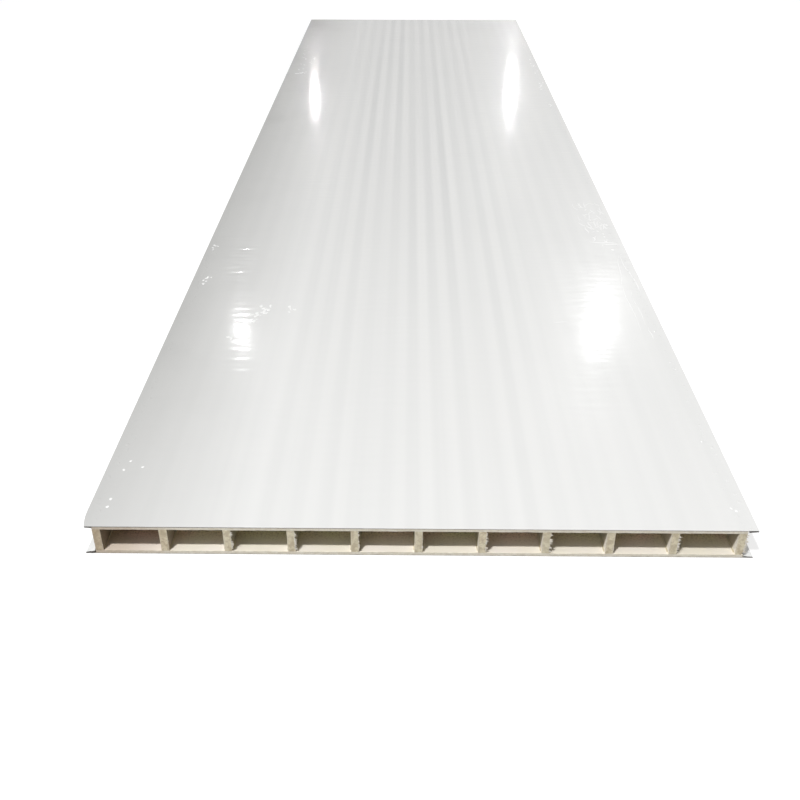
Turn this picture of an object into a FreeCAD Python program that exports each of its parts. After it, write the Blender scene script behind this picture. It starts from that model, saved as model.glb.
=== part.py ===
# Hollow magnesium oxide sandwich panel, lying flat.
# X runs across the width, Y along the length and Z up. The origin is under the middle of the panel.
import FreeCAD, Part
import math
import os
import Sketcher

from FreeCAD import Placement, Rotation, Vector

# Driving dimensions in millimetres, kept in the spreadsheet under these names.
DIMENSIONS = {
    "panel_length": 3800.0,
    "panel_width": 980.0,
    "panel_thickness": 50.0,
    "sheet_thickness": 0.5,
    "hem_return": 10.0,
    "hem_gap": 0.4,
    "edge_recess": 15.0,
    "board_thickness": 5.0,
    "rib_thickness": 12.0,
    "end_cell": 85.0,
    "film_thickness": 0.08,
}
INNER_RIBS = 9

# Sizes that follow from the driving ones, as expressions on the spreadsheet.
CORE_WIDTH = "(Sizes.panel_width - 2 * Sizes.edge_recess)"
RIB_BASE = "(Sizes.sheet_thickness + Sizes.board_thickness)"
RIB_HEIGHT = f"(Sizes.panel_thickness - 2 * {RIB_BASE})"
EDGE_RIB_OFFSET = f"(({CORE_WIDTH} - Sizes.rib_thickness) / 2)"
FIRST_RIB_OFFSET = f"({EDGE_RIB_OFFSET} - Sizes.end_cell - Sizes.rib_thickness)"
HEM_RADIUS = "(Sizes.sheet_thickness + Sizes.hem_gap / 2)"

# Numbers that a sketch gives to the ends and the centre of a line or an arc, and to its own axes.
START, END, CENTRE = range(1, 4)
ACROSS_AXIS, UPRIGHT_AXIS = range(-1, -3, -1)
ORIGIN = (ACROSS_AXIS, START)

doc = FreeCAD.newDocument("HollowPanel")
sizes = doc.addObject("Spreadsheet::Sheet", "Sizes")
for row, (alias, value) in enumerate(DIMENSIONS.items(), start=1):
    sizes.set(f"A{row}", alias)
    sizes.set(f"B{row}", str(value))
    sizes.setAlias(f"B{row}", alias)
doc.recompute()


def new_section(label):
    """Start a body with an empty section sketch on its XZ plane."""
    body = doc.addObject("PartDesign::Body", label)
    body.Label = label
    sketch = body.newObject("Sketcher::SketchObject", f"{label}_section")
    plane = next(item for item in body.Origin.OriginFeatures if item.Role == "XZ_Plane")
    sketch.AttachmentSupport = [(plane, "")]
    sketch.MapMode = "FlatFace"
    return body, sketch


def constrain(sketch, kind, *references):
    """Add a constraint without a size."""
    sketch.addConstraint(Sketcher.Constraint(kind, *references))


def dimension(sketch, name, expression, kind, *references):
    """Add a constraint with a size and tie that size to the spreadsheet."""
    index = sketch.addConstraint(Sketcher.Constraint(kind, *references))
    sketch.renameConstraint(index, name)
    sketch.setExpression(f"Constraints.{name}", expression)


def run_along_length(body, sketch):
    """Run the section along the panel, half of its length to each side of the XZ plane."""
    run = body.newObject("PartDesign::Pad", f"{body.Label}_run")
    run.Profile = sketch
    run.SideType = "Symmetric"
    run.setExpression("Length", "Sizes.panel_length")
    body.Tip = run


def make_slab(label, width, thickness, across, base):
    """A board, a rib or the film: a plain rectangular section that stands on its base line."""
    body, sketch = new_section(label)
    corners = [Vector(-1, 0), Vector(1, 0), Vector(1, 1), Vector(-1, 1)]
    sides = [
        sketch.addGeometry(Part.LineSegment(start, end))
        for start, end in zip(corners, corners[1:] + corners[:1])
    ]
    bottom, right, top, left = sides
    for side, following in zip(sides, sides[1:] + sides[:1]):
        constrain(sketch, "Coincident", side, END, following, START)
    constrain(sketch, "Horizontal", bottom)
    constrain(sketch, "Horizontal", top)
    constrain(sketch, "Vertical", right)
    constrain(sketch, "Vertical", left)
    constrain(sketch, "Symmetric", bottom, START, bottom, END, *ORIGIN)
    dimension(sketch, "Width", width, "DistanceX", bottom, START, bottom, END, 2)
    dimension(sketch, "Thickness", thickness, "DistanceY", right, START, right, END, 1)
    run_along_length(body, sketch)
    body.setExpression("Placement.Base.x", across)
    body.setExpression("Placement.Base.z", base)
    return body


def make_face_sheet(label, base, turned_over):
    """A steel face sheet: flat, with each long edge folded back over its inner side in an open hem."""
    body, sketch = new_section(label)
    sheet = DIMENSIONS["sheet_thickness"]
    inside_radius = DIMENSIONS["hem_gap"] / 2
    outside_radius = sheet + inside_radius
    bend = DIMENSIONS["panel_width"] / 2 - outside_radius
    raw_edge = DIMENSIONS["panel_width"] / 2 - DIMENSIONS["hem_return"]
    return_top = 2 * outside_radius
    return_foot = return_top - sheet

    def line(x_start, y_start, x_end, y_end):
        return sketch.addGeometry(Part.LineSegment(Vector(x_start, y_start), Vector(x_end, y_end)))

    def half_turn(x_centre, radius, first_angle):
        circle = Part.Circle(Vector(x_centre, outside_radius), Vector(0, 0, 1), radius)
        return sketch.addGeometry(Part.ArcOfCircle(circle, first_angle, first_angle + math.pi))

    outer_face = line(-bend, 0, bend, 0)
    inner_face = line(-bend, sheet, bend, sheet)
    hems = []
    for side, lower_end, first_angle in ((1, START, -math.pi / 2), (-1, END, math.pi / 2)):
        upper_end = END if lower_end == START else START
        face_end = END if side > 0 else START
        outside = half_turn(side * bend, outside_radius, first_angle)
        inside = half_turn(side * bend, inside_radius, first_angle)
        upper = line(side * bend, return_top, side * raw_edge, return_top)
        lower = line(side * bend, return_foot, side * raw_edge, return_foot)
        cut = line(side * raw_edge, return_foot, side * raw_edge, return_top)
        constrain(sketch, "Tangent", outer_face, face_end, outside, lower_end)
        constrain(sketch, "Tangent", inner_face, face_end, inside, lower_end)
        constrain(sketch, "Tangent", outside, upper_end, upper, START)
        constrain(sketch, "Tangent", inside, upper_end, lower, START)
        constrain(sketch, "Coincident", outside, CENTRE, inside, CENTRE)
        constrain(sketch, "Coincident", upper, END, cut, END)
        constrain(sketch, "Coincident", lower, END, cut, START)
        constrain(sketch, "Horizontal", upper)
        constrain(sketch, "Horizontal", lower)
        constrain(sketch, "Vertical", cut)
        hems.append((outside, inside, upper))
    (right_outside, right_inside, right_return), (left_outside, left_inside, left_return) = hems
    constrain(sketch, "PointOnObject", outer_face, START, ACROSS_AXIS)
    constrain(sketch, "Symmetric", outer_face, START, outer_face, END, UPRIGHT_AXIS)
    constrain(sketch, "Equal", right_outside, left_outside)
    constrain(sketch, "Equal", right_inside, left_inside)
    constrain(sketch, "Equal", right_return, left_return)
    dimension(
        sketch, "FlatWidth", f"Sizes.panel_width - 2 * {HEM_RADIUS}",
        "DistanceX", outer_face, START, outer_face, END, 2 * bend,
    )
    dimension(
        sketch, "ReturnFlat", f"Sizes.hem_return - {HEM_RADIUS}",
        "DistanceX", right_return, END, right_return, START, bend - raw_edge,
    )
    dimension(sketch, "OutsideRadius", HEM_RADIUS, "Radius", right_outside, outside_radius)
    dimension(sketch, "InsideRadius", "Sizes.hem_gap / 2", "Radius", right_inside, inside_radius)
    run_along_length(body, sketch)
    body.Placement = Placement(Vector(), Rotation(Vector(0, 1, 0), 180 if turned_over else 0))
    body.setExpression("Placement.Base.z", base)
    return body


parts = [
    make_face_sheet("bottom_face_sheet", "0", turned_over=False),
    make_face_sheet("top_face_sheet", "Sizes.panel_thickness", turned_over=True),
    make_slab("bottom_board", CORE_WIDTH, "Sizes.board_thickness", "0", "Sizes.sheet_thickness"),
    make_slab(
        "top_board", CORE_WIDTH, "Sizes.board_thickness", "0", f"Sizes.panel_thickness - {RIB_BASE}",
    ),
    make_slab("edge_rib_left", "Sizes.rib_thickness", RIB_HEIGHT, f"-{EDGE_RIB_OFFSET}", RIB_BASE),
    make_slab("edge_rib_right", "Sizes.rib_thickness", RIB_HEIGHT, EDGE_RIB_OFFSET, RIB_BASE),
    make_slab(
        "protective_film", "Sizes.panel_width", "Sizes.film_thickness", "0", "Sizes.panel_thickness",
    ),
]
# The inner ribs are spread evenly between the two end cells, which are a little wider than the rest.
for number in range(INNER_RIBS):
    across = f"{FIRST_RIB_OFFSET} * (2 * {number} / {INNER_RIBS - 1} - 1)"
    parts.append(make_slab(f"rib_{number + 1}", "Sizes.rib_thickness", RIB_HEIGHT, across, RIB_BASE))

doc.recompute()
for item in doc.Objects:
    if "Invalid" in item.State or "Error" in item.State:
        raise RuntimeError(f"{item.Label} did not build: {item.State}")
for part in parts:
    if part.Shape.isNull() or not part.Shape.isValid():
        raise RuntimeError(f"{part.Label} has no valid shape")
os.makedirs("parts", exist_ok=True)
for part in parts:
    part.Shape.exportStep(f"parts/{part.Label}.step")
    box = part.Shape.BoundBox
    print(f"{part.Label}: {box.XLength:.2f} x {box.YLength:.2f} x {box.ZLength:.2f} mm")
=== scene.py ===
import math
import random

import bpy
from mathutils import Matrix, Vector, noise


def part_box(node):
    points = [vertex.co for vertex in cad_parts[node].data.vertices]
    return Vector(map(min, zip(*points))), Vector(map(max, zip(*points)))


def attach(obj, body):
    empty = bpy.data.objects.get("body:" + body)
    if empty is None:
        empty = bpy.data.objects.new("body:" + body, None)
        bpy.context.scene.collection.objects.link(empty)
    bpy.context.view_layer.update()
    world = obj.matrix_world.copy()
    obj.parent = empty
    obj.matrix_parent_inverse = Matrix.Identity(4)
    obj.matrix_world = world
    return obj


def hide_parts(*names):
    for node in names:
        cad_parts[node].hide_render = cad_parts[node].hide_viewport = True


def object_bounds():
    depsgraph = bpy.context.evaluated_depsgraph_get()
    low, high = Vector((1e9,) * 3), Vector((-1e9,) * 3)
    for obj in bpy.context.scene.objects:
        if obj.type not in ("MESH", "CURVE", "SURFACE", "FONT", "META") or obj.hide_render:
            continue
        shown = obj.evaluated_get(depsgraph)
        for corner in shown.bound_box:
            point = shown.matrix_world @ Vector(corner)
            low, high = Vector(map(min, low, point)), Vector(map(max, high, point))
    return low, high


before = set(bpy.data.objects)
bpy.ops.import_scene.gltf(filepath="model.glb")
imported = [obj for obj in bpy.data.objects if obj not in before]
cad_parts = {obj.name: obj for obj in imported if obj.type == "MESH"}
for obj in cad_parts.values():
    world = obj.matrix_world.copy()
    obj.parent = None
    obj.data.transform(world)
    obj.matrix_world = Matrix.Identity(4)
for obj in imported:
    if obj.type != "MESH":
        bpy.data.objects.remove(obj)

# %% [markdown]
# # A hollow magnesium oxide panel
# The panel is a sandwich. Two thin mineral boards are held apart by ribs sawn from the same kind of
# board, a white steel sheet covers each face, and a milky film still protects the upper sheet.
# The measured model is loaded first. Everything below is built in its frame, in metres: X across the
# width, Y along the length, Z up.

MM = 0.001
cad_low, cad_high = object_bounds()
HALF_WIDTH = cad_high[0]
HALF_LENGTH = cad_high[1]
SHEET_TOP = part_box("top_face_sheet")[1][2]
print("panel", [round(high - low, 4) for low, high in zip(cad_low, cad_high)], "m")

# %% [markdown]
# ## Camera
# The photo looks along the panel from its near end, about 0.9 m up. The camera was fitted to the four
# corners of the upper face and to the rib ends, so the near edge and the far edge both fall where the
# photo has them. Lens shift is not needed.

# %% Set the camera
IMAGE_SIDE = 800
FOCAL_PIXELS = 964.7
SENSOR_WIDTH = 36
CAMERA_PLACE = (-0.0171, -2.9844, 0.9431)
LOOKS_DOWN, LEANS, TURNS_LEFT = 31.87, -0.042, 0.571
camera_data = bpy.data.cameras.new("camera")
camera_data.sensor_width = SENSOR_WIDTH
camera_data.lens = FOCAL_PIXELS / IMAGE_SIDE * SENSOR_WIDTH
camera = bpy.data.objects.new("camera", camera_data)
camera.location = CAMERA_PLACE
camera.rotation_euler = [math.radians(angle) for angle in (90 - LOOKS_DOWN, LEANS, TURNS_LEFT)]
bpy.context.scene.collection.objects.link(camera)
bpy.context.scene.camera = camera
print("lens", round(camera_data.lens, 2), "mm")

# %% [markdown]
# ## Making nodes in one line
# Node trees get long when every node takes three lines. The first helper makes a node, sets its options
# and fills its inputs. An input given as a socket is linked, and any other value is typed in. The rest
# are the few nodes that turn up again and again: sums, mixes, a change of range, and a point's place.

# %% Helpers for nodes
def node(tree, kind, inputs=None, **options):
    made = tree.nodes.new(kind)
    for name, value in options.items():
        setattr(made, name, value)
    for name, value in (inputs or {}).items():
        if isinstance(value, bpy.types.NodeSocket):
            tree.links.new(value, made.inputs[name])
        else:
            made.inputs[name].default_value = value
    return made


def math_node(tree, operation, first, second=0.0):
    return node(tree, "ShaderNodeMath", {0: first, 1: second}, operation=operation).outputs[0]


def mix(tree, factor, first, second):
    """Mix two plain values. The Mix node's value sockets are its inputs 2 and 3 and its output 0."""
    return node(tree, "ShaderNodeMix", {0: factor, 2: first, 3: second}).outputs[0]


def blend(tree, factor, first, second, **options):
    """Mix two colours. The Mix node's colour sockets are its inputs 6 and 7 and its output 2."""
    colours = {0: factor, 6: first, 7: second}
    return node(tree, "ShaderNodeMix", colours, data_type="RGBA", **options).outputs[2]


def ease(tree, value, low, high, to_low, to_high):
    """Move a value from one range to another, and stop at both ends."""
    ranges = {"Value": value, "From Min": low, "From Max": high, "To Min": to_low, "To Max": to_high}
    return node(tree, "ShaderNodeMapRange", ranges).outputs["Result"]


def split(tree, vector):
    """The X, Y and Z of a vector, as three sockets."""
    return node(tree, "ShaderNodeSeparateXYZ", {"Vector": vector}).outputs


def place_on_panel(tree):
    """Where a point lies in the panel's own frame, as three sockets."""
    return split(tree, node(tree, "ShaderNodeTexCoord").outputs["Object"])


# %% [markdown]
# ## Floor, air and lamps
# The floor is one pale plane that catches the panel's shadow. Camera rays see it almost white, and
# light that bounces sees it darker, so that it doesn't fill the dark cells from below.
# The air is a plain soft glow. Ahead of the camera it is brighter low down and to the right, and the
# film mirrors that. Behind the camera it is brighter to the left, which shapes the ribs, and rays that
# show it directly find it pale all over. Two rows of small hall lamps run along the panel, and their
# mirror images are the four bright streaks on the film. One strong lamp above and behind the camera
# throws the slanted rib shadows on the cell floors, and a weak one lights the panel from the right.

# %% Floor
FLOOR_HALF = 60
FLOOR_BOUNCED = (0.22, 0.22, 0.22, 1)
FLOOR_SEEN = (0.40, 0.40, 0.40, 1)
FLOOR_GLOW = 0.68
corners = [(-FLOOR_HALF, -FLOOR_HALF, 0), (FLOOR_HALF, -FLOOR_HALF, 0),
           (FLOOR_HALF, FLOOR_HALF, 0), (-FLOOR_HALF, FLOOR_HALF, 0)]
floor_mesh = bpy.data.meshes.new("floor")
floor_mesh.from_pydata(corners, [], [(0, 1, 2, 3)])
floor = bpy.data.objects.new("floor", floor_mesh)
bpy.context.scene.collection.objects.link(floor)
floor_paint = bpy.data.materials.new("floor_paint")
floor_paint.use_nodes = True
tree = floor_paint.node_tree


def seen_directly(tree):
    """One for the rays that show a thing to the camera, straight or in a shine, and zero for the rest."""
    path = node(tree, "ShaderNodeLightPath")
    seen = math_node(tree, "MAXIMUM", path.outputs["Is Camera Ray"], path.outputs["Is Glossy Ray"])
    return math_node(tree, "MAXIMUM", seen, path.outputs["Is Transmission Ray"])


seen = seen_directly(tree)
surface = tree.nodes["Principled BSDF"]
tree.links.new(blend(tree, seen, FLOOR_BOUNCED, FLOOR_SEEN), surface.inputs["Base Color"])
tree.links.new(math_node(tree, "MULTIPLY", seen, FLOOR_GLOW), surface.inputs["Emission Strength"])
surface.inputs["Emission Color"].default_value = (1, 1, 1, 1)
surface.inputs["Roughness"].default_value = 0.9
floor_mesh.materials.append(floor_paint)
print("floor", 2 * FLOOR_HALF, "m across")

# %% Air
AIR_COLOUR = (1.0, 0.995, 0.985, 1)
BEHIND_LEFT, BEHIND_RIGHT, BEHIND_SEEN = 0.66, 0.18, 0.72
AHEAD_LOW, AHEAD_HIGH, MORE_ON_RIGHT = 0.605, 0.31, 0.21
world = bpy.data.worlds.new("air")
bpy.context.scene.world = world
world.use_nodes = True
tree = world.node_tree
direction = split(tree, node(tree, "ShaderNodeTexCoord").outputs["Generated"])
low_down = ease(tree, direction["Z"], 0.18, 0.36, AHEAD_LOW, AHEAD_HIGH)
to_the_right = ease(tree, direction["X"], -0.2, 0.2, 0.0, MORE_ON_RIGHT)
beyond_panel = math_node(tree, "ADD", low_down, to_the_right)
behind_lit = ease(tree, direction["X"], -0.5, 0.35, BEHIND_LEFT, BEHIND_RIGHT)
behind_camera = mix(tree, seen_directly(tree), behind_lit, BEHIND_SEEN)
ahead = ease(tree, direction["Y"], -0.1, 0.4, 0.0, 1.0)
glow = mix(tree, ahead, behind_camera, beyond_panel)
tree.links.new(glow, tree.nodes["Background"].inputs["Strength"])
tree.nodes["Background"].inputs["Color"].default_value = AIR_COLOUR
bpy.context.scene.view_settings.view_transform = "Standard"
print("air ahead from", AHEAD_HIGH, "to", round(AHEAD_LOW + MORE_ON_RIGHT, 3))

# %% Lamps
def hang_lamp(name, place, aim, across, along, watts):
    """A round or oval lamp that looks at a point."""
    data = bpy.data.lights.new(name, "AREA")
    data.shape = "ELLIPSE"
    data.size = across
    data.size_y = along
    data.energy = watts
    lamp = bpy.data.objects.new(name, data)
    lamp.location = place
    lamp.rotation_euler = (Vector(aim) - Vector(place)).to_track_quat("-Z", "Y").to_euler()
    bpy.context.scene.collection.objects.link(lamp)


hang_lamp("lamp_near", place=(-1.864, -4.624, 7.3), aim=(0, -1.6, 0.05), across=0.5, along=0.5, watts=522)
hang_lamp("lamp_side", place=(2.3, 0.2, 1.4), aim=(0, 0.2, 0.05), across=3.4, along=0.7, watts=10)
# Each hall lamp's place across and along, and its watts.
HALL_LAMPS = {"lamp_middle_left": (-1.433, 4.27, 2.1), "lamp_middle_right": (1.631, 4.46, 7.0),
              "lamp_far_left": (-1.478, 12.105, 3.7), "lamp_far_right": (1.552, 12.3, 6.0)}
HALL_LAMP_HEIGHT = 3.0
HALL_LAMP_SIZE = 0.06
HALL_LAMP_AIM = 0.36
for name, (x, y, watts) in HALL_LAMPS.items():
    aim = (math.copysign(HALL_LAMP_AIM, x), 0, 0.05)
    hang_lamp(name, (x, y, HALL_LAMP_HEIGHT), aim, HALL_LAMP_SIZE, HALL_LAMP_SIZE, watts)

# %% [markdown]
# ## Shared effects
# Five effects turn up on more than one finish, so each is a node group that is built once.
# `Lengthwise streaks` is the banding along a coil of sheet: shallow rolled bands at an even pitch, each a
# little stronger or weaker than the next, and looser streaks between them.
# `Mineral grain` is the speckle and clouding of the board. `Cut end` marks what the saw has passed
# through at both ends. `Handling marks` is the faint smudging of anything that has been carried, and
# `Left edge shade` is painted shade along the panel's left side, full at one place across and gone
# at another.
# A texture painted by hand would do as well, but groups keep working when a size changes.

# %% Group helper
def start_group(name, inputs, outputs):
    """A new group with its sockets, its two end nodes and the point's place in the panel's frame."""
    group = bpy.data.node_groups.new(name, "ShaderNodeTree")
    for label, value in inputs.items():
        socket = group.interface.new_socket(name=label, in_out="INPUT", socket_type="NodeSocketFloat")
        socket.default_value = value
    for label in outputs:
        group.interface.new_socket(name=label, in_out="OUTPUT", socket_type="NodeSocketFloat")
    entry = node(group, "NodeGroupInput")
    exit_node = node(group, "NodeGroupOutput")
    place = node(group, "ShaderNodeTexCoord").outputs["Object"]
    print("group", name, "takes", list(inputs), "and gives", outputs)
    return group, entry, exit_node, place


def use_group(tree, group, **values):
    """Place a group in a material. An underscore in a name stands for the space in a socket's name."""
    made = node(tree, "ShaderNodeGroup", node_tree=group)
    for label, value in values.items():
        made.inputs[label.replace("_", " ")].default_value = value
    return made


# %% Lengthwise streaks
BAND_PITCH = 43.5 * MM
BAND_CREST = 14 * MM
STREAK_PULL = 0.35
streaks, entry, leave, place = start_group(
    "Lengthwise streaks", {"Spacing": 0.023, "Bands": 1.0, "Streaks": 1.0}, ["Tone"])
axes = split(streaks, place)


def stretched_noise(spacing, detail):
    """Noise that changes quickly across the panel and slowly along it, from about -0.5 to 0.5."""
    across = math_node(streaks, "DIVIDE", axes["X"], spacing)
    along = math_node(streaks, "MULTIPLY", axes["Y"], STREAK_PULL)
    stretched = node(streaks, "ShaderNodeCombineXYZ", {"X": across, "Y": along}).outputs["Vector"]
    pattern = node(streaks, "ShaderNodeTexNoise", {"Vector": stretched, "Scale": 1.0, "Detail": detail})
    return math_node(streaks, "SUBTRACT", pattern.outputs["Fac"], 0.5)


from_crest = math_node(streaks, "SUBTRACT", axes["X"], BAND_CREST)
swing = math_node(streaks, "COSINE", math_node(streaks, "MULTIPLY", from_crest, 2 * math.pi / BAND_PITCH))
band = ease(streaks, swing, -0.6, 0.6, -0.5, 0.5)
uneven = ease(streaks, stretched_noise(1.3 * BAND_PITCH, 1.0), -0.2, 0.2, 0.3, 1.6)
band = math_node(streaks, "MULTIPLY", math_node(streaks, "MULTIPLY", band, uneven), entry.outputs["Bands"])
loose = stretched_noise(entry.outputs["Spacing"], 2.0)
loose = math_node(streaks, "MULTIPLY", loose, entry.outputs["Streaks"])
streaks.links.new(math_node(streaks, "ADD", band, loose), leave.inputs["Tone"])

# %% Mineral grain
grain, entry, leave, place = start_group(
    "Mineral grain", {"Cloud Size": 0.05, "Speck Size": 0.0016}, ["Cloud", "Speck"])
for label, size, detail in (("Cloud", "Cloud Size", 3.0), ("Speck", "Speck Size", 4.0)):
    scale = math_node(grain, "DIVIDE", 1.0, entry.outputs[size])
    pattern = node(grain, "ShaderNodeTexNoise", {"Vector": place, "Scale": scale, "Detail": detail})
    grain.links.new(pattern.outputs["Fac"], leave.inputs[label])

# %% Cut end
cut_end, entry, leave, place = start_group("Cut end", {"Reach": 0.001, "Softness": 0.0002}, ["Mask"])
from_middle = math_node(cut_end, "ABSOLUTE", split(cut_end, place)["Y"])
edge = math_node(cut_end, "SUBTRACT", HALF_LENGTH, entry.outputs["Reach"])
inner_edge = math_node(cut_end, "SUBTRACT", edge, entry.outputs["Softness"])
mask = ease(cut_end, from_middle, inner_edge, edge, 0.0, 1.0)
cut_end.links.new(mask, leave.inputs["Mask"])

# %% Handling marks
marks, entry, leave, place = start_group("Handling marks", {"Size": 0.25}, ["Smudge"])
scale = math_node(marks, "DIVIDE", 1.0, entry.outputs["Size"])
cloud = node(marks, "ShaderNodeTexNoise", {"Vector": place, "Scale": scale, "Detail": 5.0,
                                           "Roughness": 0.6}).outputs["Fac"]
marks.links.new(ease(marks, cloud, 0.45, 0.75, 0.0, 1.0), leave.inputs["Smudge"])

# %% Left edge shade
# Painted shade for the left side: a mask that is full at one place across and gone at another.
left_edge_shade, entry, leave, place = start_group(
    "Left edge shade", {"Full At": -HALF_WIDTH, "Gone At": -0.3, "Strength": 0.8}, ["Mask"])
full_at, gone_at, strength = [entry.outputs[label] for label in ("Full At", "Gone At", "Strength")]
mask = ease(left_edge_shade, split(left_edge_shade, place)["X"], full_at, gone_at, strength, 0.0)
left_edge_shade.links.new(mask, leave.inputs["Mask"])

# %% [markdown]
# ## Finishes
# Each finish is one material. White paint on the steel is satin, and its inner side has a greyer
# backing coat. The film over the upper sheet is milky and much glossier than the paint, so its own
# sharp highlights carry the look of the upper face. Where air lifts it, it looks whiter, and that white
# also paints the glints on its bubbles and creases. Shade is painted along its left edge. Board faces
# are smooth and brown in the shade of the cells. The rib sides are painted darker still, as shade, and
# a painted shade darkens the first cells on the left. The saw leaves a pale, blotched, rough end and
# dusts the floor of each cell, and a pale patch low on each left-facing rib side, strongest at the near
# end, is a painted pool of lamp light. Glue and torn fibres are small, plain relatives of the board.

# %% Finish helper
def new_finish(name, roughness):
    """A material with its tree and its surface shader, ready for colour."""
    finish = bpy.data.materials.new(name)
    finish.use_nodes = True
    surface = finish.node_tree.nodes["Principled BSDF"]
    surface.inputs["Roughness"].default_value = roughness
    print("finish", name)
    return finish, finish.node_tree, surface


# %% Protective film
FILM_SHADE, FILM_PALE = (0.685, 0.69, 0.685, 1), (0.835, 0.835, 0.825, 1)
film_finish, tree, surface = new_finish("milky_film", 0.3)
place = place_on_panel(tree)
off_middle = math_node(tree, "ABSOLUTE", place["X"])
pressed = math_node(tree, "MULTIPLY", ease(tree, place["Y"], -1.5, 0.0, 0.5, 2.0),
                    ease(tree, off_middle, 0.1, 0.34, 1.2, 0.45))
bands = use_group(tree, streaks, Spacing=0.014, Streaks=0.9)
tree.links.new(pressed, bands.inputs["Bands"])
smudge = use_group(tree, marks, Size=0.3).outputs["Smudge"]
tint = math_node(tree, "ADD", ease(tree, bands.outputs["Tone"], -1.8, 1.8, 0.0, 1.0),
                 ease(tree, smudge, 0.0, 1.0, 0.06, -0.06))
clean = blend(tree, tint, FILM_SHADE, FILM_PALE)

# %% Painted shade along the film's left edge
FILM_EDGE_SHADE = (0.42, 0.42, 0.41, 1)
FILM_SHADE_GONE = -0.26
FILM_COAT_ROUGHNESS = 0.085
# The grey band along the left edge is painted shade. It is weaker at the near end and stronger at the far
# end.
shade_band = use_group(tree, left_edge_shade, Full_At=-HALF_WIDTH, Gone_At=FILM_SHADE_GONE, Strength=0.85).outputs["Mask"]
for change in (ease(tree, place["Y"], -HALF_LENGTH, -1.3, 0.72, 1.0),
               ease(tree, place["Y"], 1.0, 1.8, 1.0, 1.3),
               ease(tree, smudge, 0.0, 1.0, 0.95, 1.1)):
    shade_band = math_node(tree, "MULTIPLY", shade_band, change)
tree.links.new(blend(tree, shade_band, clean, FILM_EDGE_SHADE), surface.inputs["Base Color"])
tree.links.new(ease(tree, smudge, 0.0, 1.0, 0.28, 0.4), surface.inputs["Roughness"])
# Under the painted shade the coat is weaker, so the reflection there is dimmed as well.
gloss = math_node(tree, "MULTIPLY", ease(tree, tint, 0.2, 0.8, 0.8, 1.0),
                  ease(tree, shade_band, 0.0, 0.65, 1.0, 0.4))
tree.links.new(gloss, surface.inputs["Coat Weight"])
surface.inputs["Coat Roughness"].default_value = FILM_COAT_ROUGHNESS
print("dust reaches", round(HALF_WIDTH + FILM_SHADE_GONE, 3), "m in from the left edge")

# %% Film lifted by air, with painted glints
LIFTED_WHITE_AND_GLINT, LIFTED_GREY = (0.92, 0.92, 0.915, 1), (0.86, 0.865, 0.86, 1)
lifted_and_glint_finish, tree, surface = new_finish("lifted_film_and_glint", 0.3)
smudge = use_group(tree, marks, Size=0.02).outputs["Smudge"]
# The white is partly the air under the film and partly a painted glint on the bubbles and creases that wear
# it.
tree.links.new(blend(tree, smudge, LIFTED_WHITE_AND_GLINT, LIFTED_GREY), surface.inputs["Base Color"])
surface.inputs["Coat Weight"].default_value = 1.0
surface.inputs["Coat Roughness"].default_value = FILM_COAT_ROUGHNESS

# %% White paint
PAINT_SHADE, PAINT_PALE = (0.79, 0.80, 0.80, 1), (0.81, 0.82, 0.82, 1)
PAINT_SMUDGED = (0.74, 0.745, 0.74, 1)
paint_finish, tree, surface = new_finish("white_paint", 0.35)
smudge = use_group(tree, marks, Size=0.4).outputs["Smudge"]
bands = use_group(tree, streaks, Spacing=0.03, Bands=0.5, Streaks=0.5).outputs["Tone"]
painted = blend(tree, ease(tree, bands, -0.5, 0.5, 0.0, 1.0), PAINT_SHADE, PAINT_PALE)
tree.links.new(blend(tree, smudge, painted, PAINT_SMUDGED), surface.inputs["Base Color"])
tree.links.new(ease(tree, smudge, 0.0, 1.0, 0.3, 0.45), surface.inputs["Roughness"])

# %% Backing coat, and bare steel with painted shade
BACKING_GREY, BACKING_DARK = (0.30, 0.28, 0.26, 1), (0.17, 0.15, 0.13, 1)
# The near-black of the cut steel is partly rust and partly painted shade for the gap inside the hems.
RUST_AND_SHADE_DARK, RUST_AND_SHADE_BLACK = (0.07, 0.06, 0.05, 1), (0.035, 0.027, 0.02, 1)
STEEL_WORN = (0.42, 0.37, 0.33, 1)
DARKEST_AT, LIGHTEST_AT = -0.45, 0.1
HEM_STARTS = HALF_WIDTH - 15 * MM
backing_finish, tree, surface = new_finish("backing_coat", 0.55)
smudge = use_group(tree, marks, Size=0.12).outputs["Smudge"]
tree.links.new(blend(tree, smudge, BACKING_GREY, BACKING_DARK), surface.inputs["Base Color"])
steel_finish, tree, surface = new_finish("cut_steel", 0.5)
smudge = use_group(tree, marks, Size=0.05).outputs["Smudge"]
across = place_on_panel(tree)["X"]
# The cut steel is near black at the hems, which paints the shade in their gap, and elsewhere it is darkest at
# the left and lighter to the right.
at_hem = math_node(tree, "GREATER_THAN", math_node(tree, "ABSOLUTE", across), HEM_STARTS)
lighter_to_right = math_node(tree, "SUBTRACT", ease(tree, across, DARKEST_AT, LIGHTEST_AT, 0.0, 1.0), at_hem)
rust_and_shade = blend(tree, smudge, RUST_AND_SHADE_DARK, RUST_AND_SHADE_BLACK)
bare = blend(tree, ease(tree, lighter_to_right, 0.0, 1.0, 0.0, 0.9), rust_and_shade, STEEL_WORN)
tree.links.new(bare, surface.inputs["Base Color"])
tree.links.new(ease(tree, smudge, 0.0, 1.0, 0.4, 0.1), surface.inputs["Metallic"])

# %% Mineral board inside the cells
SAWDUST_PINK, SAWDUST_GREY = (0.86, 0.80, 0.725, 1), (0.825, 0.775, 0.655, 1)
# The pale colour for left-facing sides is painted light, a pool of the near lamp's light, not dust.
SIDE_LIGHT_PALE = (1.0, 0.95, 0.85, 1)
STAIN = (0.40, 0.33, 0.24, 1)
CELL_FLOOR, CELL_CEILING = 6 * MM, 44 * MM
SIDE_LIGHT_REACH = 14 * MM


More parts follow.
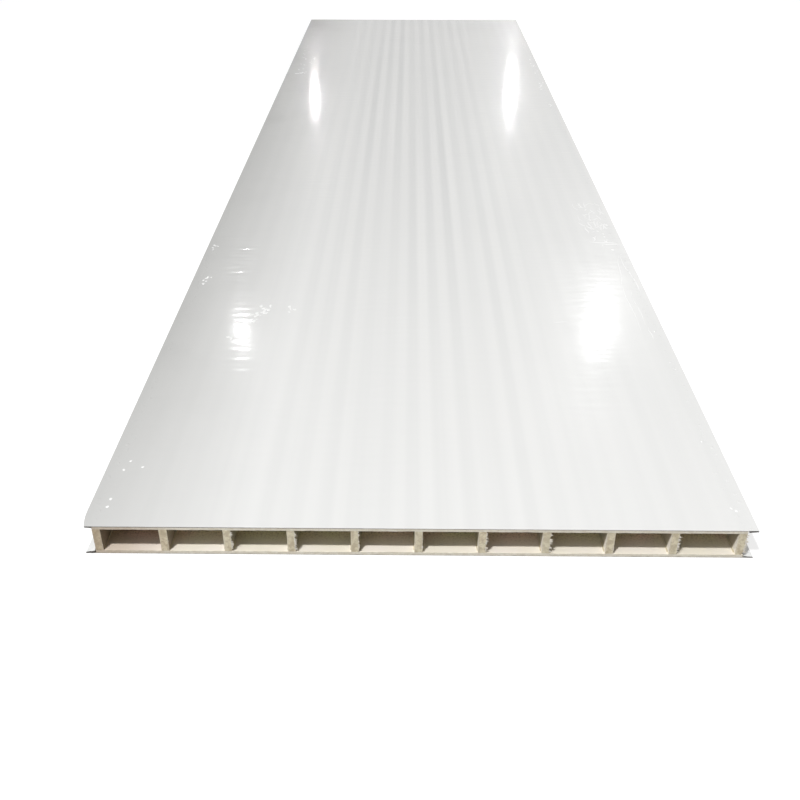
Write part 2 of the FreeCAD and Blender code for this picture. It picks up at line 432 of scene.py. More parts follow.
def cell_face(tree, cloud, stain, inner_red, inner_green):
    """Clouded and stained board, sawdust on the floors, and painted light low on the left-facing sides."""
    inner = blend(tree, stain, blend(tree, cloud, inner_red, inner_green), STAIN)
    dusted = blend(tree, cloud, SAWDUST_PINK, SAWDUST_GREY)
    facing = split(tree, node(tree, "ShaderNodeNewGeometry").outputs["Normal"])
    upward = ease(tree, facing["Z"], 0.5, 0.8, 0.0, 1.0)
    leftward = ease(tree, facing["X"], -0.8, -0.5, 1.0, 0.0)
    place = place_on_panel(tree)
    on_floor = use_group(tree, cut_end, Reach=0.012, Softness=0.03).outputs["Mask"]
    # The pale patch on left-facing sides is painted light. It reaches 14 mm in at the floor and nothing at
    # the ceiling, like the near lamp's light through the open end, and it fades toward the far end.
    on_side = use_group(tree, cut_end, Softness=0.004)
    reach = ease(tree, place["Z"], CELL_FLOOR, CELL_CEILING, SIDE_LIGHT_REACH, 0.0)
    tree.links.new(reach, on_side.inputs["Reach"])
    toward_near_end = ease(tree, place["Y"], -1.0, 1.0, 1.0, 0.2)
    side_light = math_node(tree, "MULTIPLY", on_side.outputs["Mask"], toward_near_end)
    face = blend(tree, math_node(tree, "MULTIPLY", upward, on_floor), inner, dusted)
    return blend(tree, math_node(tree, "MULTIPLY", leftward, side_light), face, SIDE_LIGHT_PALE)


# %% Mineral board sawn through
SPECK_DARK = (0.62, 0.53, 0.39, 1)
CLOUD_GREEN = (0.80, 0.76, 0.58, 1)
GLASS_MESH = (0.86, 0.82, 0.74, 1)
GLASS_MESH_DEPTH = 0.9 * MM


def sawn_face(tree, cloud, speck, blotch, cut_pale, cut_dark, specks):
    """Blotches and specks, and a pale line where the saw went through the glass mesh under each face."""
    cut = blend(tree, blotch, cut_pale, cut_dark)
    cut = blend(tree, math_node(tree, "MULTIPLY", speck, specks), cut, SPECK_DARK)
    cut = blend(tree, math_node(tree, "MULTIPLY", cloud, 0.6 * specks), cut, CLOUD_GREEN)
    depth = node(tree, "ShaderNodeAttribute", attribute_name="depth").outputs["Fac"]
    from_mesh = math_node(tree, "ABSOLUTE", math_node(tree, "SUBTRACT", depth, GLASS_MESH_DEPTH))
    return blend(tree, ease(tree, from_mesh, 0.0001, 0.0005, 0.6, 0.0), cut, GLASS_MESH)


# %% Mineral finishes
# Painted shade: the first cells at the panel's left side are darkened toward the left edge.
CELL_SHADE_COLOUR = (0.70, 0.62, 0.58, 1)
CELL_SHADE_FULL, CELL_SHADE_GONE = -0.44, -0.34


def mineral_finish(name, inner_red, inner_green, cut_pale, cut_dark, specks):
    finish, tree, surface = new_finish(name, 0.85)
    wide = use_group(tree, grain, Cloud_Size=0.09, Speck_Size=0.0016).outputs
    close = use_group(tree, grain, Cloud_Size=0.007, Speck_Size=0.003).outputs
    cloud = ease(tree, wide["Cloud"], 0.35, 0.65, 0.0, 1.0)
    speck = ease(tree, wide["Speck"], 0.5, 0.75, 0.0, 1.0)
    blotch = ease(tree, close["Cloud"], 0.4, 0.6, 0.0, 1.0)
    stain = ease(tree, close["Speck"], 0.45, 0.65, 0.0, 0.4)
    face = cell_face(tree, cloud, stain, inner_red, inner_green)
    cut = sawn_face(tree, cloud, speck, blotch, cut_pale, cut_dark, specks)
    sawn = use_group(tree, cut_end, Reach=0.0012).outputs["Mask"]
    # This mask paints the shade over the first cells on the left.
    left_cell_shade = use_group(tree, left_edge_shade, Full_At=CELL_SHADE_FULL, Gone_At=CELL_SHADE_GONE, Strength=0.8).outputs["Mask"]
    shaded_colour = blend(tree, left_cell_shade, blend(tree, sawn, face, cut), CELL_SHADE_COLOUR, blend_type="MULTIPLY")
    tree.links.new(shaded_colour, surface.inputs["Base Color"])
    bump = node(tree, "ShaderNodeBump", {"Strength": 0.5, "Distance": 0.0004, "Height": wide["Speck"]})
    tree.links.new(bump.outputs["Normal"], surface.inputs["Normal"])
    return finish


# The ribs are the same board as the boards, but their inner colours are much darker, which paints the shade
# of the cells on the rib sides.
rib_finish = mineral_finish(
    "mineral_rib", inner_red=(0.48, 0.38, 0.31, 1), inner_green=(0.39, 0.38, 0.26, 1),
    cut_pale=(0.97, 0.87, 0.65, 1), cut_dark=(0.68, 0.565, 0.385, 1), specks=0.75)
board_finish = mineral_finish(
    "mineral_board", inner_red=(1.0, 0.80, 0.68, 1), inner_green=(0.90, 0.86, 0.60, 1),
    cut_pale=(1.0, 0.95, 0.82, 1), cut_dark=(0.91, 0.84, 0.70, 1), specks=0.3)

# %% Torn fibres and glue
def clouded_finish(name, roughness, cloud_size, pale, dark):
    finish, tree, surface = new_finish(name, roughness)
    cloud = use_group(tree, grain, Cloud_Size=cloud_size).outputs["Cloud"]
    colour = blend(tree, ease(tree, cloud, 0.35, 0.65, 0.0, 1.0), pale, dark)
    tree.links.new(colour, surface.inputs["Base Color"])
    return finish


fibre_finish = clouded_finish("torn_fibre", 0.8, 0.01, (0.94, 0.90, 0.82, 1), (0.82, 0.76, 0.65, 1))
glue_finish = clouded_finish("dried_glue", 0.45, 0.02, (0.70, 0.64, 0.48, 1), (0.60, 0.53, 0.36, 1))

# %% [markdown]
# ## From points to pieces
# Every piece here is a mesh made from lists of points and faces. Blender's modelling tools could cut the
# same shapes, but lists keep each size tied to the loaded model. `make_piece` turns them into an object,
# smooths it except across sharp corners, and ties it to the panel's one body.

# %% Mesh helpers
SHARP = math.radians(32)


def make_piece(name, points, faces, finishes, slot, finish_of_face=None):
    """A mesh object that rides on the panel. Each face may name its finish by number."""
    mesh = bpy.data.meshes.new(name)
    mesh.from_pydata(points, [], faces)
    for finish in finishes:
        mesh.materials.append(finish)
    if finish_of_face:
        mesh.polygons.foreach_set("material_index", finish_of_face)
    mesh.shade_smooth()
    mesh.set_sharp_from_angle(angle=SHARP)
    mesh.validate()
    piece = bpy.data.objects.new(name, mesh)
    bpy.context.scene.collection.objects.link(piece)
    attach(piece, "root")
    print(name, len(mesh.polygons), "faces")
    return piece


def gridded_bar(xs, ys, zs, shift):
    """A closed bar whose surface is divided at the given places, each point moved by shift."""
    points = []
    number = {}
    faces = []
    right, far, top = len(xs) - 1, len(ys) - 1, len(zs) - 1

    def at(i, j, k):
        if (i, j, k) not in number:
            number[i, j, k] = len(points)
            points.append(shift(xs[i], ys[j], zs[k]))
        return number[i, j, k]

    for j in range(far):
        for i in range(right):
            faces.append((at(i, j, 0), at(i, j + 1, 0), at(i + 1, j + 1, 0), at(i + 1, j, 0)))
            faces.append((at(i, j, top), at(i + 1, j, top), at(i + 1, j + 1, top), at(i, j + 1, top)))
        for k in range(top):
            faces.append((at(0, j, k), at(0, j, k + 1), at(0, j + 1, k + 1), at(0, j + 1, k)))
            faces.append((at(right, j, k), at(right, j + 1, k), at(right, j + 1, k + 1), at(right, j, k + 1)))
    for i in range(right):
        for k in range(top):
            faces.append((at(i, 0, k), at(i + 1, 0, k), at(i + 1, 0, k + 1), at(i, 0, k + 1)))
            faces.append((at(i, far, k), at(i, far, k + 1), at(i + 1, far, k + 1), at(i + 1, far, k)))
    return points, faces


def steps(low, high, pitch):
    """Even divisions from low to high, about a pitch apart."""
    count = max(1, round((high - low) / pitch))
    return [low + (high - low) * i / count for i in range(count + 1)]


def rough(x, y, z, size):
    """Smooth noise from -1 to 1 with features of the given size."""
    return noise.noise(Vector((x / size, y / size, z / size)))


# %% [markdown]
# ## Steel face sheets
# A face sheet comes off a coil a little wider than the panel, and its two long edges are folded back
# by 10 mm in a flat hem. The fold wraps the white outer paint round the edge, so the hem is white on
# both sides and the grey backing coat only shows in the strip between hem and core. Where the saw went
# through, the fold springs open a little, and one corner of the upper face took a knock. A bevelled curve
# could make the fold too, but a section swept by hand keeps the raw edges exact. The section is drawn
# once, and the upper sheet is the same section turned over.

# %% Draw the hemmed section
SHEET = 0.5 * MM
HEM_GAP = 0.4 * MM
HEM_RETURN = 10 * MM
BEND_STEPS = 10


def hemmed_section():
    """The outline of a sheet that lies on its outer side: right hem first, then its mirror image."""
    outside = SHEET + HEM_GAP / 2
    inside = HEM_GAP / 2
    bend = HALF_WIDTH - outside
    raw_edge = HALF_WIDTH - HEM_RETURN
    turn = [math.pi * (i / BEND_STEPS - 0.5) for i in range(BEND_STEPS + 1)]
    right = [(bend + outside * math.cos(a), outside + outside * math.sin(a)) for a in turn]
    right += [(raw_edge, 2 * outside), (raw_edge, 2 * outside - SHEET)]
    right += [(bend + inside * math.cos(a), outside + inside * math.sin(a)) for a in reversed(turn)]
    return right + [(-x, z) for x, z in reversed(right)]


section = hemmed_section()
print("section of", len(section), "points")

# %% Knock a corner and open the hems
GAPE_LENGTH = 45 * MM
GAPE_INWARD = 3.5 * MM
KNOCK_LENGTH = 35 * MM
KNOCK_WIDTH = 45 * MM
KNOCK_DEPTH = 5 * MM


def knocked(x, y):
    """The near left corner of the upper face was knocked in: this gives a point's new place across."""
    along = max(0.0, 1 - (y + HALF_LENGTH) / KNOCK_LENGTH)
    beside = max(0.0, 1 - (x + HALF_WIDTH) / KNOCK_WIDTH)
    return x + KNOCK_DEPTH * along ** 2 * beside


def gaping(x, y, z, gape):
    """Lift the folded-back strip of a hem close to the saw cut, most at its raw edge, and draw it inward."""
    to_end = max(0.0, 1 - (HALF_LENGTH - abs(y)) / GAPE_LENGTH) ** 1.5
    folded = min(1.0, max(0.0, (z - SHEET - HEM_GAP / 2) / (SHEET + HEM_GAP / 2)))
    inward = min(1.0, (HALF_WIDTH - abs(x)) / HEM_RETURN)
    drawn = GAPE_INWARD * to_end * folded * inward
    return x - math.copysign(drawn, x), z + gape * to_end * folded * (0.35 + 0.65 * inward)


print("hems gape over", round(GAPE_LENGTH / MM), "mm, and the knock is", round(KNOCK_DEPTH / MM), "mm deep")

# %% Sweep the section along the panel
PAINTED, COATED, BARE = range(3)
SHEET_END_STEPS = (0, 4, 9, 15, 24, 36, 50, 70)
SHEET_STEP = 60 * MM
BEND_START = HALF_WIDTH - HEM_RETURN - MM


def make_face_sheet(name, node_name, base, up, gapes):
    """Sweep the section. The gapes are in millimetres: near left, near right, far left and far right."""
    count = len(section)
    half = count // 2
    near = [-HALF_LENGTH + step * MM for step in SHEET_END_STEPS]
    stations = near[:-1] + steps(near[-1], -near[-1], SHEET_STEP) + [-y for y in reversed(near[:-1])]
    points = []
    for y in stations:
        for x, z in section:
            gape = gapes[(0 if y < 0 else 2) + (0 if x < 0 else 1)] * MM
            across, rise = gaping(x, y, z, gape) if abs(x) > BEND_START else (x, z)
            if up < 0:
                across = knocked(across, y)
            points.append((across, y, base + up * rise))
    faces = []
    finish_of_face = []
    for row in range(len(stations) - 1):
        for i in range(count):
            a, b = row * count + i, row * count + (i + 1) % count
            faces.append((a, a + count, b + count, b))
            place = i if i < half else count - 2 - i
            # Inside the fold the faces take the near-black cut steel, which paints the shade in the hem's
            # gap.
            finish_of_face.append(PAINTED if place <= BEND_STEPS else BARE if place < half - 1 else COATED)
    caps = [(0, half - 1, half, count - 1)]
    for i in range(half // 2 - 1):
        caps.append((i, i + 1, half - 2 - i, half - 1 - i))
        caps.append((half + i, half + i + 1, count - 2 - i, count - 1 - i))
    last = (len(stations) - 1) * count
    faces += caps + [tuple(last + i for i in reversed(cap)) for cap in caps]
    finish_of_face += [BARE] * 2 * len(caps)
    if up < 0:
        faces = [face[::-1] for face in faces]
    piece = make_piece(name, points, faces, [paint_finish, backing_finish, steel_finish],
                       "painted_steel", finish_of_face)
    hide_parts(node_name)


make_face_sheet("lower_sheet", "bottom_face_sheet", cad_low[2], 1, (3.2, 1.4, 1.0, 1.8))
make_face_sheet("upper_sheet", "top_face_sheet", SHEET_TOP, -1, (1.4, 1.8, 1.6, 1.0))

# %% [markdown]
# ## Boards and ribs
# Boards and ribs are sawn from the same mineral sheet. A plain box has the right size, but a saw leaves
# a slightly hollowed, crumbled end and breaks small chips out of the corners where it comes out. So each
# piece is a bar with many divisions close to its two ends, and a `shift` function pushes the end points
# back by noise and wears the corners. Along the middle, where nothing happens, the divisions are long.

# %% Sawn ends
WORN_LENGTH = 14 * MM
CHIP_REACH = 4 * MM
COARSE_CRUMBS, COARSE_SIZE = 0.22 * MM, 5 * MM
FINE_CRUMBS, FINE_SIZE = 0.12 * MM, 1.3 * MM
WIDE_BITE, SMALL_BITE, FLAT_BITE = 6 * MM, 2.4 * MM, 7 * MM
BAR_END_STEPS = (0, 0.5, 1.2, 2.2, 3.6, 6, 9, 14, 30, 80)
BAR_STEP = 240 * MM


def length_stations():
    """Where a bar is divided along its length: closely at both ends, widely between them."""
    near = [-HALF_LENGTH + step * MM for step in BAR_END_STEPS]
    middle = steps(near[-1], -near[-1], BAR_STEP)
    return near[:-1] + middle + [-y for y in reversed(near[:-1])]


def sawn_end(low, high, chip_left, chip_right, chip_flat, seed):
    """A shift function: crumbled ends, and chipped corners of up to the given depths."""
    def shift(x, y, z):
        depth = HALF_LENGTH - abs(y)
        if depth > WORN_LENGTH:
            return (x, y, z)
        fade = 1 - depth / WORN_LENGTH
        near_corner = fade ** 6
        push = COARSE_CRUMBS * (1 + rough(x + seed, y, z, COARSE_SIZE))
        push += FINE_CRUMBS * (1 + rough(x, y + seed, z, FINE_SIZE))
        wide_bite = max(0.0, rough(seed, y, z - seed, WIDE_BITE) + 0.2)
        small_bite = max(0.0, rough(seed, 3 * y, z + seed, SMALL_BITE) + 0.1)
        right_pull = max(0.0, 1 - (high[0] - x) / CHIP_REACH)
        left_pull = max(0.0, 1 - (x - low[0]) / CHIP_REACH)
        flat_bite = max(0.0, rough(x + seed, y, 0, FLAT_BITE) + 0.25)
        flat_bite += 0.4 * max(0.0, rough(x, y, seed, SMALL_BITE))
        x += (chip_left * left_pull - chip_right * right_pull) * (wide_bite + 0.8 * small_bite) * near_corner
        if z == low[2]:
            z += chip_flat * flat_bite * near_corner
        if z == high[2]:
            z -= chip_flat * flat_bite * near_corner
        return (x, y - math.copysign(push * fade, y), z)
    return shift


print("bars are divided at", len(length_stations()), "places along")

# %% Cut the two boards
BOARD_STEP_ACROSS, BOARD_STEP_UP = 3 * MM, 1 * MM
BOARD_SIDE_CHIP, BOARD_FLAT_CHIP = 0.8 * MM, 0.5 * MM


def store_depth(piece, axis, low, high):
    """Keep how deep each point lies under the two broad faces, for the glass mesh in the finish."""
    depth = piece.data.attributes.new("depth", "FLOAT", "POINT")
    for point, vertex in zip(depth.data, piece.data.vertices):
        point.value = max(0.0, min(vertex.co[axis] - low[axis], high[axis] - vertex.co[axis]))


for name, node_name, seed in (("lower_board", "bottom_board", 3.1), ("upper_board", "top_board", 8.7)):
    low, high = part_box(node_name)
    grid = gridded_bar(
        steps(low[0], high[0], BOARD_STEP_ACROSS), length_stations(), steps(low[2], high[2], BOARD_STEP_UP),
        sawn_end(low, high, BOARD_SIDE_CHIP, BOARD_SIDE_CHIP, BOARD_FLAT_CHIP, seed))
    board = make_piece(name, *grid, [board_finish], "magnesium_oxide")
    store_depth(board, 2, low, high)
    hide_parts(node_name)

# %% [markdown]
# The saw went through the ribs from left to right as the photo sees them: their left corners are crisp
# and their right corners are torn, some much more than others. Each rib has its own depth of tearing,
# in millimetres.

# %% Saw the ribs
TORN = {"edge_rib_left": 0.6, "rib_1": 0.5, "rib_2": 2.6, "rib_3": 3.0, "rib_4": 1.5, "rib_5": 1.0,
        "rib_6": 2.4, "rib_7": 2.4, "rib_8": 0.8, "rib_9": 2.8, "edge_rib_right": 3.0}
RIB_STEP_ACROSS, RIB_STEP_UP = 1 * MM, 1.5 * MM
RIB_LEFT_CHIP = 0.35 * MM
for seed, (node_name, torn) in enumerate(TORN.items()):
    low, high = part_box(node_name)
    grid = gridded_bar(
        steps(low[0], high[0], RIB_STEP_ACROSS), length_stations(), steps(low[2], high[2], RIB_STEP_UP),
        sawn_end(low, high, RIB_LEFT_CHIP, torn * MM, 0.0, 17.3 * seed))
    rib = make_piece("sawn_" + node_name, *grid, [rib_finish], "magnesium_oxide")
    store_depth(rib, 0, low, high)
    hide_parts(node_name)

# %% [markdown]
# ## Torn fibres
# Where the saw tore the ribs, shreds of the board and of its glass mesh hang on the right-hand corners.
# Hair particles could stand for them, but they don't export as solid pieces. So each shred is a thin
# tapering strip that curls out beside its rib. They are joined into one mesh, with a fixed seed, so every
# run draws the same shreds.

# %% Grow the shreds
random.seed(41)
fibre_points, fibre_faces = [], []
SHRED_RINGS = 4
SHRED_HALF_THICKNESS = 0.22 * MM


def add_shred(root, reach, height, curl, end):
    """A tapering strip from a rib corner: rings of four points, closed at both ends."""
    first = len(fibre_points)
    for ring in range(SHRED_RINGS):
        t = ring / (SHRED_RINGS - 1)
        half = height / 2 * (1 - 0.8 * t) * random.uniform(0.7, 1.2)
        thick = SHRED_HALF_THICKNESS * (1 - 0.5 * t)
        x = root[0] + reach * t
        y = root[1] + end * curl * t * t
        z = root[2] + random.uniform(-0.3, 0.3) * height * t
        fibre_points.extend([(x, y - thick, z - half), (x, y + thick, z - half),
                             (x, y + thick, z + half), (x, y - thick, z + half)])
    for ring in range(SHRED_RINGS - 1):
        start = first + 4 * ring
        for i in range(4):
            j = (i + 1) % 4
            fibre_faces.append((start + i, start + 4 + i, start + 4 + j, start + j))
    fibre_faces.append((first, first + 1, first + 2, first + 3))
    tip = first + 4 * (SHRED_RINGS - 1)
    fibre_faces.append((tip + 3, tip + 2, tip + 1, tip))


for node_name, torn in TORN.items():
    low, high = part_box(node_name)
    for end in (-1, 1):
        for _ in range(round(6 * torn ** 1.4)):
            root = (high[0] - 1.6 * MM, end * (HALF_LENGTH - random.uniform(0.3, 1.2) * MM),
                    random.uniform(low[2] + 2 * MM, high[2] - 2 * MM))
            add_shred(root, random.uniform(1.6, 2.4 + 0.9 * torn) * MM, random.uniform(0.8, 3.4) * MM,
                      random.uniform(-0.2, 1.6) * MM, end)
make_piece("torn_fibres", fibre_points, fibre_faces, [fibre_finish], "magnesium_oxide")

# %% [markdown]
# ## Glue lines
# The ribs are bedded in glue, which squeezes out and dries as a yellowish bead along each joint. A curve
# with a round bevel would do, but a swept section can sink a little into both walls, so no gap shows.
# Each bead is a small rounded fillet along the cell, thick and thin by turns.

# %% Run the beads
bead_points, bead_faces = [], []
CORE_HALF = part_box("top_board")[1][0]
BEAD_FROM_ENDS = 5 * MM
BEAD_STEP = 45 * MM
BEAD_STATIONS = steps(-HALF_LENGTH + BEAD_FROM_ENDS, HALF_LENGTH - BEAD_FROM_ENDS, BEAD_STEP)
BEAD_SECTION = ((-0.3, -0.3), (1.1, -0.3), (0.95, 0.1), (0.42, 0.42), (0.1, 0.95), (-0.3, 1.1))


def add_bead(corner_x, corner_z, side, up, seed):
    """A bead in the corner between a rib and a board, sunk a little into both."""
    first = len(bead_points)
    for y in BEAD_STATIONS:
        size = MM * (1.5 + 0.9 * rough(seed, y, 0, 0.05) + 0.5 * rough(seed, y, 7, 0.17))
        for across, rise in BEAD_SECTION:
            bead_points.append((corner_x + side * across * size, y, corner_z + up * rise * size))
    ring = len(BEAD_SECTION)
    for row in range(len(BEAD_STATIONS) - 1):
        for i in range(ring):
            a, b = first + row * ring + i, first + row * ring + (i + 1) % ring
            bead_faces.append((a, a + ring, b + ring, b) if side * up > 0 else (b, b + ring, a + ring, a))
    near_cap = tuple(range(first, first + ring))
    far_cap = tuple(first + (len(BEAD_STATIONS) - 1) * ring + i for i in range(ring))
    bead_faces.extend([near_cap, far_cap[::-1]] if side * up > 0 else [near_cap[::-1], far_cap])


for seed, node_name in enumerate(TORN):
    low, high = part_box(node_name)
    for side, x in ((-1, low[0]), (1, high[0])):
        if abs(x) > CORE_HALF - MM:
            continue
        add_bead(x, low[2], side, 1, seed * 4.7 + side)
        add_bead(x, high[2], side, -1, seed * 4.7 + side + 2.2)
make_piece("glue_lines", bead_points, bead_faces, [glue_finish], "magnesium_oxide")

# %% [markdown]
# ## Protective film
# The film is far thinner than anything else here, and it isn't quite flat. It follows the rolled bands
# of the sheet below as soft lengthwise waves, it has fine ripples across them that draw the image of
# each lamp out into a streak, and near the left edge it is pulled up in one spot. So it is a fine grid,
# moved up and down by a fraction of a millimetre, and by about one in that spot. It is laid a little high,
# so that no wave dips into the sheet. A bump map could fake the waves, but real ones also hold up in the
# export.

# %% Shape the film's surface
FILM_FOOT, FILM_TOP = SHEET_TOP, cad_high[2]
PULLED_X, PULLED_Y = -0.395, -0.94
PULLED_WIDE, PULLED_LONG = 0.025, 0.11
# Heights in millimetres, and sizes across and along in metres.
FILM_LIFT, PULLED_HEIGHT, BAND_HEIGHT, DRIFT_HEIGHT, RIPPLE_HEIGHT = 0.3, 0.4, 0.03, 0.08, 0.16
DRIFT_SIZE, PATCH_SIZE, RIPPLE_SIZE = (0.16, 0.7), (0.15, 0.3), (0.05, 0.013)


def swell_at(x, y, size, layer):
    """Smooth noise over the panel with features of the given size across and along."""
    return rough(x / size[0], y / size[1], layer, 1)


def film_wave(x, y):
    """How far the film stands up at a place: bands, a slow drift, patches of ripples and the pulled spot."""
    bands = 0.5 + 0.5 * math.cos(2 * math.pi * (x - BAND_CREST) / BAND_PITCH)
    drift = swell_at(x, y, DRIFT_SIZE, 3.0)
    patch = 0.7 + max(0.0, swell_at(x, y, PATCH_SIZE, 5.0))
    pulled = math.exp(-((x - PULLED_X) / PULLED_WIDE) ** 2 - ((y - PULLED_Y) / PULLED_LONG) ** 2)
    ripple = (patch + 4.5 * pulled) * swell_at(x, y, RIPPLE_SIZE, 9.0)
    height = FILM_LIFT + PULLED_HEIGHT * pulled + BAND_HEIGHT * bands
    return MM * (height + DRIFT_HEIGHT * drift + RIPPLE_HEIGHT * ripple)


def film_top(x, y):
    return FILM_TOP + film_wave(x, y)


print("film lifts by", round(film_wave(0, 0) / MM, 2), "mm in the middle of the panel")

# %% Lay the film
FILM_STEP = 4 * MM
FILM_CLEARANCE = 0.01 * MM


def lay_film():
    """A fine grid on top, one plain face below, and a narrow skirt all round between them."""
    xs = steps(-HALF_WIDTH, HALF_WIDTH, BAND_PITCH / 4)
    ys = steps(-HALF_LENGTH, HALF_LENGTH, FILM_STEP)
    wide = len(xs)
    points = [(knocked(x, y), y, film_top(x, y)) for y in ys for x in xs]
    faces = [(row + i, row + i + 1, row + wide + i + 1, row + wide + i)
             for row in range(0, wide * (len(ys) - 1), wide) for i in range(wide - 1)]
    rim = list(range(wide)) + [row * wide + wide - 1 for row in range(1, len(ys))]
    rim += [wide * len(ys) - 2 - i for i in range(wide - 1)]
    rim += [row * wide for row in range(len(ys) - 2, 0, -1)]
    foot = len(points)
    points += [(points[i][0], points[i][1], FILM_FOOT + FILM_CLEARANCE) for i in rim]
    for i in range(len(rim)):
        j = (i + 1) % len(rim)
        faces.append((rim[j], rim[i], foot + i, foot + j))
    faces.append(tuple(foot + i for i in reversed(range(len(rim)))))
    return points, faces


film = make_piece("milky_film", *lay_film(), [film_finish], "film")
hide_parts("protective_film")

# %% [markdown]
# ## Bubbles and creases in the film
# Air is caught under the film, mostly in a line along both long edges, where the roller that laid it
# lifted off. A few clusters are whiter, partly from the air and partly as painted glints, and one patch
# by the right edge is crinkled all over, its creases white with painted glints too. Each bubble is a low
# closed dome, and a crease is a narrow ridge along a path. They could be pressed into the film's own
# grid, but that would have to be far finer. All of them sit on the film's wavy surface, so nothing floats.

# %% Raise the bubbles
random.seed(7)
bubble_points, bubble_faces = [], []
DOME_RINGS = ((1.0, -0.25), (0.93, 0.22), (0.72, 0.62), (0.38, 0.92))


def add_bubble(x, y, length, width, height, turn, sides=10):
    """A closed dome with a wobbly foot that dips a little under the film's surface."""
    first = len(bubble_points)
    wobble = [random.uniform(0.82, 1.12) for _ in range(sides)]
    for scale, rise in DOME_RINGS:
        for i in range(sides):
            a = 2 * math.pi * i / sides
            along = length / 2 * scale * wobble[i] * math.cos(a)
            across = width / 2 * scale * wobble[i] * math.sin(a)
            px = x + across * math.cos(turn) - along * math.sin(turn)
            py = y + across * math.sin(turn) + along * math.cos(turn)
            bubble_points.append((px, py, film_top(px, py) + rise * height))
    bubble_points.append((x, y, film_top(x, y) + height))
    for ring in range(len(DOME_RINGS) - 1):
        start = first + ring * sides
        for i in range(sides):
            j = (i + 1) % sides
            bubble_faces.append((start + j, start + i, start + sides + i, start + sides + j))
    crown = first + (len(DOME_RINGS) - 1) * sides
    for i in range(sides):
        bubble_faces.append((crown + (i + 1) % sides, crown + i, first + len(DOME_RINGS) * sides))
    bubble_faces.append(tuple(first + i for i in range(sides)))


# %% Air along both long edges
EDGE_LINE = 474 * MM
FROM_ENDS = 6 * MM
FROM_EDGES = 5 * MM
y = -HALF_LENGTH + FROM_ENDS
while y < HALF_LENGTH - FROM_ENDS:
    for side in (-1, 1):
        if random.random() < 0.85:
            x = side * (EDGE_LINE + random.gauss(0, 4.5) * MM)
            x = max(-HALF_WIDTH + FROM_EDGES, min(HALF_WIDTH - FROM_EDGES, x))
            length = random.uniform(4.0, 9.0) * MM
            add_bubble(x, y + random.uniform(-4, 4) * MM, length, length * random.uniform(0.4, 0.9),
                       length * random.uniform(0.04, 0.07), random.uniform(-0.5, 0.5))
    y += random.uniform(9, 22) * MM
edge_faces = len(bubble_faces)
print("edge bubbles", edge_faces, "faces")

# %% White flecks and single bubbles
# Each cluster's middle across and along, its spread across and along in millimetres, and its count.
FLECKS = [(-457, -1066, 7, 14, 9), (-474, -854, 4, 14, 6), (-314, -1196, 7, 12, 12), (-327, -1236, 6, 8, 5),
          (-260, -1196, 6, 9, 6), (-362, -1322, 5, 10, 4), (-440, 833, 14, 6, 14), (-411, 1060, 7, 40, 10),
          (-450, 1120, 10, 120, 16), (440, -800, 18, 50, 14), (468, 660, 4, 25, 9), (468, 385, 3, 12, 7),
          (472, 950, 5, 200, 22)]
FLECK_LIMIT = 482
for x, y, across, along, count in FLECKS:
    for _ in range(count):
        length = random.uniform(6, 13) * MM
        px = max(-FLECK_LIMIT, min(FLECK_LIMIT, x + random.gauss(0, across))) * MM
        add_bubble(px, (y + random.gauss(0, along)) * MM, length, length * random.uniform(0.35, 0.7),
                   length * random.uniform(0.04, 0.09), random.uniform(-0.8, 0.8))
SINGLE_BUBBLES = [(-457, -1737), (-434, -1753), (-462, -1761), (-463, -1835), (-463, -1854), (-391, -1015),
                  (464, -1848), (470, -1854)]
for x, y in SINGLE_BUBBLES:
    length = random.uniform(5, 7) * MM
    add_bubble(x * MM, y * MM, length, length * random.uniform(0.6, 0.9), length * random.uniform(0.05, 0.08),
               random.uniform(-0.8, 0.8), 14)
make_piece("film_bubbles", bubble_points, bubble_faces, [film_finish, lifted_and_glint_finish], "film",
           [0] * edge_faces + [1] * (len(bubble_faces) - edge_faces))

# %% Fold the creases
crease_points, crease_faces = [], []
CREASE_STEP = 8 * MM
CREASE_SECTION = ((-1.0, -0.3), (-0.45, 0.45), (0.0, 1.0), (0.4, 0.5), (1.0, -0.3))


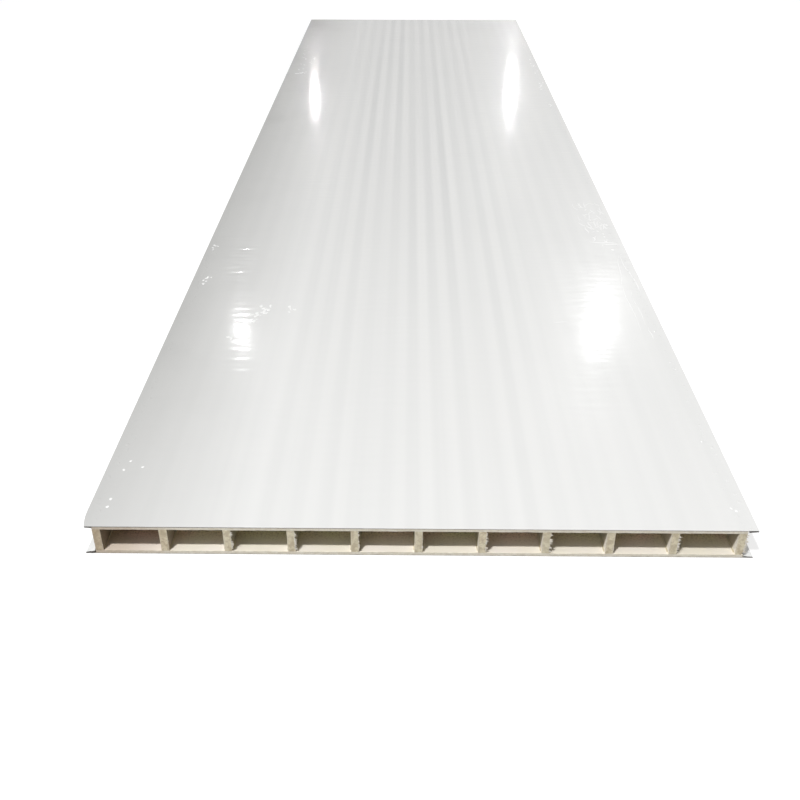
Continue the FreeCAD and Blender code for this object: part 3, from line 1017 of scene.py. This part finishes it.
def add_crease(start, end, width, height, stray):
    """A low ridge from start to end, thin at both tips. Its section stands across its own run."""
    first = len(crease_points)
    start, run = Vector(start), Vector(end) - Vector(start)
    aside = Vector((run.y, -run.x)).normalized()
    count = max(4, round(run.length / CREASE_STEP))
    ring = len(CREASE_SECTION)
    for row in range(count + 1):
        t = row / count
        swell = math.sin(math.pi * (0.04 + 0.92 * t))
        middle = start + run * t + aside * stray * rough(start.x, t * 3, start.y, 1)
        for across, rise in CREASE_SECTION:
            spot = middle + aside * (across * width / 2 * swell)
            crease_points.append((spot.x, spot.y, film_top(spot.x, spot.y) + rise * height * swell))
    for row in range(count):
        for i in range(ring):
            a, b = first + row * ring + i, first + row * ring + (i + 1) % ring
            crease_faces.append((a, b, b + ring, a + ring))
    near_cap = tuple(range(first, first + ring))
    far_cap = tuple(first + count * ring + i for i in range(ring))
    crease_faces.extend([near_cap[::-1], far_cap])


# %% Place the creases
# Each crease's two tips, its width and its height, in millimetres. The rest fill the crinkled patch.
creases = [((445, -1285), (445, -1071), 3.0, 0.35), ((459, -1259), (458, -1096), 3.0, 0.35),
           ((462, -1318), (461, -1267), 3.0, 0.4), ((445, -1075), (466, -908), 3.0, 0.25),
           ((480, -1110), (468, -915), 4.0, 0.3), ((411, -830), (479, -837), 7.0, 0.4),
           ((436, -842), (481, -845), 6.0, 0.4), ((274, -1248), (306, -1247), 3.0, 0.15)]
CRINKLED_ACROSS, CRINKLED_ALONG = (408, 476), (-810, -570)
CRINKLES = 46
CREASE_STRAY = 4 * MM
for _ in range(CRINKLES):
    x = random.uniform(*CRINKLED_ACROSS)
    y = random.uniform(*CRINKLED_ALONG)
    turn = random.uniform(0, 2 * math.pi)
    reach = random.uniform(5, 9)
    creases.append(((x - reach * math.sin(turn), y - 3 * reach * math.cos(turn)),
                    (x + reach * math.sin(turn), y + 3 * reach * math.cos(turn)),
                    random.uniform(2, 5), random.uniform(0.15, 0.4)))
for start, end, width, height in creases:
    add_crease([v * MM for v in start], [v * MM for v in end], width * MM, height * MM, CREASE_STRAY)
# The creases take the whiter lifted finish, whose white is partly a painted glint.
make_piece("film_creases", crease_points, crease_faces, [lifted_and_glint_finish], "film")
